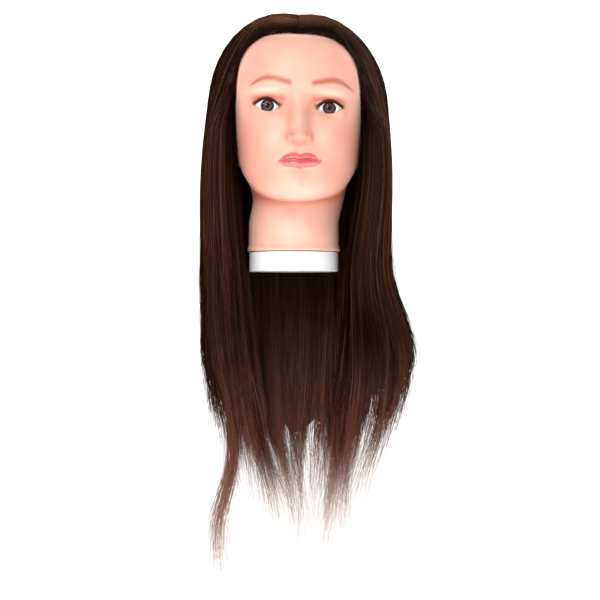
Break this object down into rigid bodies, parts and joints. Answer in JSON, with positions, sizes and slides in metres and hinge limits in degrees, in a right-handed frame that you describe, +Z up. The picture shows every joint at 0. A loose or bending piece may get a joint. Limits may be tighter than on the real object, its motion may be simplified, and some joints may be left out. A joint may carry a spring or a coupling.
{
  "type": "mannequin training head",
  "caption": "Salon training head with a soft moulded face, inset eyes, a white neck base with a holder socket, and long straight brown hair in hanging sections.",
  "frame": {"origin": "centre of the neck base's underside, at the mouth of the holder socket", "axes": "+Z up out of the socket towards the crown, -Y the way the face looks, +X towards the viewer's right when facing it"},
  "size_m": [0.239, 0.2266, 0.6464],
  "materials": {
    "skin": "soft vinyl, satin",
    "scalp_latex": "brushed latex over the hair knots",
    "foam": "rigid expanded foam",
    "base_plastic": "white moulded plastic",
    "socket_plastic": "pale grey moulded plastic",
    "eye_white": "polished acrylic",
    "iris": "printed iris with a black rim and pupil",
    "cornea": "clear cast acrylic",
    "lash": "fibre lashes",
    "hair": "long straight hair, dark brown roots to lighter brown ends"
  },
  "bodies": {
    "head": {"head_skin": "skin", "scalp_liner": "scalp_latex", "foam_core": "foam", "neck_base": "base_plastic", "pin_socket": "socket_plastic", "left_eye_white": "eye_white", "right_eye_white": "eye_white", "left_iris": "iris", "right_iris": "iris", "left_cornea": "cornea", "right_cornea": "cornea", "left_lashes": "lash", "right_lashes": "lash", "left_crown_hair": "hair", "right_crown_hair": "hair", "back_crown_hair": "hair"},
    "left_hair": {"left_front_hair": "hair", "left_back_hair": "hair"},
    "right_hair": {"right_front_hair": "hair", "right_back_hair": "hair"},
    "back_hair": {"back_left_hair": "hair", "back_right_hair": "hair"},
    "tail_lock": {"left_tail_lock": "hair"}
  },
  "joints": [
    {"name": "left_hair_swing", "type": "hinge", "parent": "head", "child": "left_hair", "pos_m": [-0.092, 0, 0.141], "axis": [0, 1, 0], "range_deg": [0, 35]},
    {"name": "right_hair_swing", "type": "hinge", "parent": "head", "child": "right_hair", "pos_m": [0.101, 0, 0.1355], "axis": [0, -1, 0], "range_deg": [0, 35]},
    {"name": "back_hair_swing", "type": "hinge", "parent": "head", "child": "back_hair", "pos_m": [0, 0.107, 0.137], "axis": [1, 0, 0], "range_deg": [0, 35]},
    {"name": "tail_lock_swing", "type": "hinge", "parent": "left_hair", "child": "tail_lock", "pos_m": [-0.069, 0.01, -0.215], "axis": [0, 1, 0], "range_deg": [0, 25]}
  ]
}
